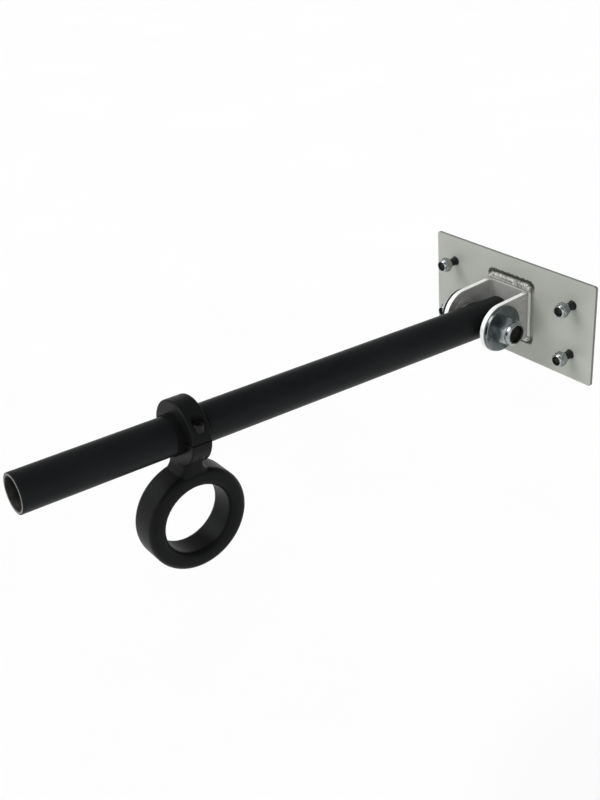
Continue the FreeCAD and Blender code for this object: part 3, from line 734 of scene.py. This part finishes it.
for side, label in ((1, "Right"), (-1, "Left")):
    root = [Vector((side * sideX, sideY, z)) for z in (-footZ, footZ)]
    weldRuns.append(weldRun("sideBead" + label, root, "side", clevisWeld["sideUnevenness"],
                            clevisWeld["sideSeed"] + side, "clevisMetal"))
clevisBead = joinPieces("clevisBead", weldRuns)
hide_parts("clevis_weld")
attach(clevisBead, "bracket")

# a bead round each saddle where the sleeve comes out of the tube
sleeveBead = {"beadRadius": 0.0019, "ripplePitch": 0.0016, "unevenness": 0.12, "steps": 48, "seed": 23}
tubeRadius = farthestFrom("bar_tube", pivot, outward)
sleeveRadius = farthestFrom("pivot_sleeve", pivot, across)
for side, label in ((1, "right"), (-1, "left")):
    saddle = []
    for i in range(sleeveBead["steps"]):
        angle = 2 * math.pi * i / sleeveBead["steps"]
        ringY, ringZ = sleeveRadius * math.cos(angle), sleeveRadius * math.sin(angle)
        lift = math.sqrt(tubeRadius ** 2 - ringZ ** 2)
        saddle.append(barPlace @ Vector((side * lift, ringY, ringZ)))
    bead = bakeTree("sleeveBead_" + label, pathObject("saddle_" + label, saddle, True), beadTree, {
        "Bead Radius": sleeveBead["beadRadius"], "Ripple Pitch": sleeveBead["ripplePitch"],
        "Unevenness": sleeveBead["unevenness"], "Seed": sleeveBead["seed"] + side,
        "Material": materials["barCoat"]})
    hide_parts("sleeve_weld_" + label)
    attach(bead, "bar")
print("weld beads done")

rodTree = threadTree()
studs = {
    "frontDiameter": 0.00794, "frontDepth": 0.00062, "frontPitch": 0.00141,
    "wallDiameter": 0.0084, "wallDepth": 0.0009, "wallPitch": 0.0021,
    "collarDiameter": 0.00944, "endTaper": 0.0009, "nutFlats": 0.0127,
    "stepsRound": 33, "stepsPerTurn": 8}
studLow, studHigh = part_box("wall_studs")
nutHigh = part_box("wall_nuts")[1]
# each nut is centred on its stud, with its corners along X and its flats across Z
nutHalfFlats = studs["nutFlats"] / 2
nutHalfCorners = nutHalfFlats / math.cos(math.radians(30))
studX, studZ = nutHigh.x - nutHalfCorners, nutHigh.z - nutHalfFlats
studCentres = [(x, z) for x in (-studX, studX) for z in (-studZ, studZ)]
studPieces = []
for label, startY, endY, diameter, depth, pitch in (
        ("studFront", studLow.y, 0.0, studs["frontDiameter"], studs["frontDepth"], studs["frontPitch"]),
        ("studBack", 0.0, studHigh.y, studs["wallDiameter"], studs["wallDepth"], studs["wallPitch"]),
        ("studCollar", plateFront, 0.0, studs["collarDiameter"], 0.0, studs["frontPitch"])):
    points = pathObject(label + "Points", [(x, endY, z) for x, z in studCentres], False)
    length = endY - startY
    studPieces.append(bakeTree(label, points, rodTree, {
        "Radius": diameter / 2, "Thread Depth": depth, "Pitch": pitch, "Length": length,
        "End Taper": studs["endTaper"], "Steps Round": studs["stepsRound"],
        "Steps Along": round(length / pitch * studs["stepsPerTurn"]),
        "Rotation": (math.radians(90), 0, 0), "Material": materials["blackOxideAndShade"]}))
for piece in studPieces:
    outwardFaces(piece)
    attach(piece, "bracket")
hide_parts("wall_studs")
print("studs at", [tuple(round(v, 4) for v in c) for c in studCentres])

# a long smooth tube with bare sawn ends
barTube = {
    "sides": 144, "wall": 0.00338, "chamfer": 0.0005, "chamferBreak": 0.3, "coatLap": 0.0004,
    "boreShade": 0.0011, "endBand": 0.004, "boreBandHinge": 0.01, "boreBandFree": 0.012}
tubeStart, tubeEnd = spanAlong("bar_tube", pivot, outward)


def turnedPiece(name, profile, sides, place, slots):
    # a closed profile of (radius, step along, slot of the next face) turned about local Y
    work = bmesh.new()
    rings = []
    for i in range(sides):
        angle = 2 * math.pi * i / sides
        c, s = math.cos(angle), math.sin(angle)
        rings.append([work.verts.new((radius * c, step, radius * s)) for radius, step, slot in profile])
    for i in range(sides):
        first, second = rings[i], rings[(i + 1) % sides]
        for j in range(len(profile)):
            k = (j + 1) % len(profile)
            face = work.faces.new((first[j], first[k], second[k], second[j]))
            face.material_index = profile[j][2]
            face.smooth = True
    bmesh.ops.recalc_face_normals(work, faces=work.faces)
    bmesh.ops.transform(work, matrix=place, verts=work.verts)
    mesh = bpy.data.meshes.new(name)
    work.to_mesh(mesh)
    work.free()
    for slot in slots:
        mesh.materials.append(slot)
    return addObject(name, mesh)


bore = tubeRadius - barTube["wall"]
cut = barTube["chamfer"]
halfCut = cut * barTube["chamferBreak"]
freeEnd, hingeEnd = -tubeEnd, -tubeStart
# radius, step along, and the slot of the face that follows: 0 coat, 1 bare rim, 2 bore
profile = [
    (bore, freeEnd + cut, 2), (bore + cut, freeEnd, 2), (bore + barTube["boreShade"], freeEnd, 1),
    (tubeRadius - cut - barTube["coatLap"], freeEnd, 0), (tubeRadius - cut, freeEnd, 0),
    (tubeRadius - halfCut, freeEnd + halfCut, 0), (tubeRadius, freeEnd + cut, 0),
    (tubeRadius, freeEnd + barTube["endBand"], 0), (tubeRadius, hingeEnd - barTube["endBand"], 0),
    (tubeRadius, hingeEnd - cut, 0), (tubeRadius - cut, hingeEnd, 1), (bore + cut, hingeEnd, 2),
    (bore, hingeEnd - cut, 2), (bore, hingeEnd - barTube["boreBandHinge"], 2),
    (bore, freeEnd + barTube["boreBandFree"], 2)]
tubePiece = turnedPiece("barTube", profile, barTube["sides"], barPlace,
                        [materials["barCoat"], materials["rimSteel"], materials["boreSteel"]])
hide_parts("bar_tube")
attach(tubePiece, "bar")
print("bar tube from", round(tubeStart, 4), "to", round(tubeEnd, 4))

stage = {"floorDrop": 0.55, "floorSize": 60.0, "noiseScale": 3, "roughness": 0.95,
         "tones": [(0.0, (0.93, 0.93, 0.925)), (1.0, (0.955, 0.955, 0.95))]}
floorMaterial, floorTree, floorShader = startMaterial("paleFloor")
floorTone = ramp(floorTree, noiseOn(floorTree, placedCoords(floorTree), stage["noiseScale"]),
                 stage["tones"])
floorTree.links.new(floorTone, floorShader.inputs["Base Color"])
floorShader.inputs["Roughness"].default_value = stage["roughness"]
floorShader.inputs["Specular IOR Level"].default_value = 0.0
floorPlace = (0, 0, cadBox[0].z - stage["floorDrop"])
bpy.ops.mesh.primitive_plane_add(size=stage["floorSize"], location=floorPlace)
floor = bpy.context.object
floor.name = "floor"
floor.data.materials.append(floorMaterial)

# white near the horizon, darker overhead, so bare metal has something to reflect
studio = {"strength": 1.0,
          "tones": [(0.08, (1, 1, 1)), (0.4, (0.5, 0.5, 0.5)), (0.9, (0.32, 0.32, 0.33))]}
world = bpy.data.worlds.new("softStudio")
bpy.context.scene.world = world
world.use_nodes = True
sky = world.node_tree
skyTone = ramp(sky, axesOf(sky, "Generated")["Z"], studio["tones"])
sky.links.new(skyTone, sky.nodes["Background"].inputs["Color"])
sky.nodes["Background"].inputs["Strength"].default_value = studio["strength"]
bpy.context.scene.view_settings.view_transform = "Standard"

lights = {
    "keyLight": {"towards": (-0.35, -0.6, 0.75), "strength": 2.4, "spread": 45},
    "fillLight": {"towards": (0.85, -0.45, 0.3), "strength": 0.6, "spread": 60}}
for name, light in lights.items():
    sun = bpy.data.lights.new(name, "SUN")
    sun.energy = light["strength"]
    sun.angle = math.radians(light["spread"])
    lamp = addObject(name, sun)
    lamp.rotation_euler = Vector(light["towards"]).to_track_quat("Z", "Y").to_euler()
print("stage and lights done")

camera = {"azimuth": 55.13, "elevation": 30.13, "roll": -5.14, "distance": 0.9655, "lens": 49.4,
          "sensor": 36, "clipStart": 0.01, "aim": (-0.0126, -0.2552, -0.0076)}
azimuth, elevation, roll = (math.radians(camera[k]) for k in ("azimuth", "elevation", "roll"))
back = Vector((math.sin(azimuth) * math.cos(elevation), -math.cos(azimuth) * math.cos(elevation),
               math.sin(elevation)))
right = Vector((0, 0, 1)).cross(back).normalized()
up = back.cross(right)
rolledRight = right * math.cos(roll) + up * math.sin(roll)
rolledUp = -right * math.sin(roll) + up * math.cos(roll)
cameraData = bpy.data.cameras.new("mainCamera")
cameraData.lens = camera["lens"]
cameraData.sensor_width = camera["sensor"]
cameraData.clip_start = camera["clipStart"]
cameraObject = addObject("mainCamera", cameraData)
turnMatrix = Matrix((rolledRight, rolledUp, back)).transposed().to_4x4()
eye = Vector(camera["aim"]) + back * camera["distance"]
cameraObject.matrix_world = Matrix.Translation(eye) @ turnMatrix
bpy.context.scene.camera = cameraObject
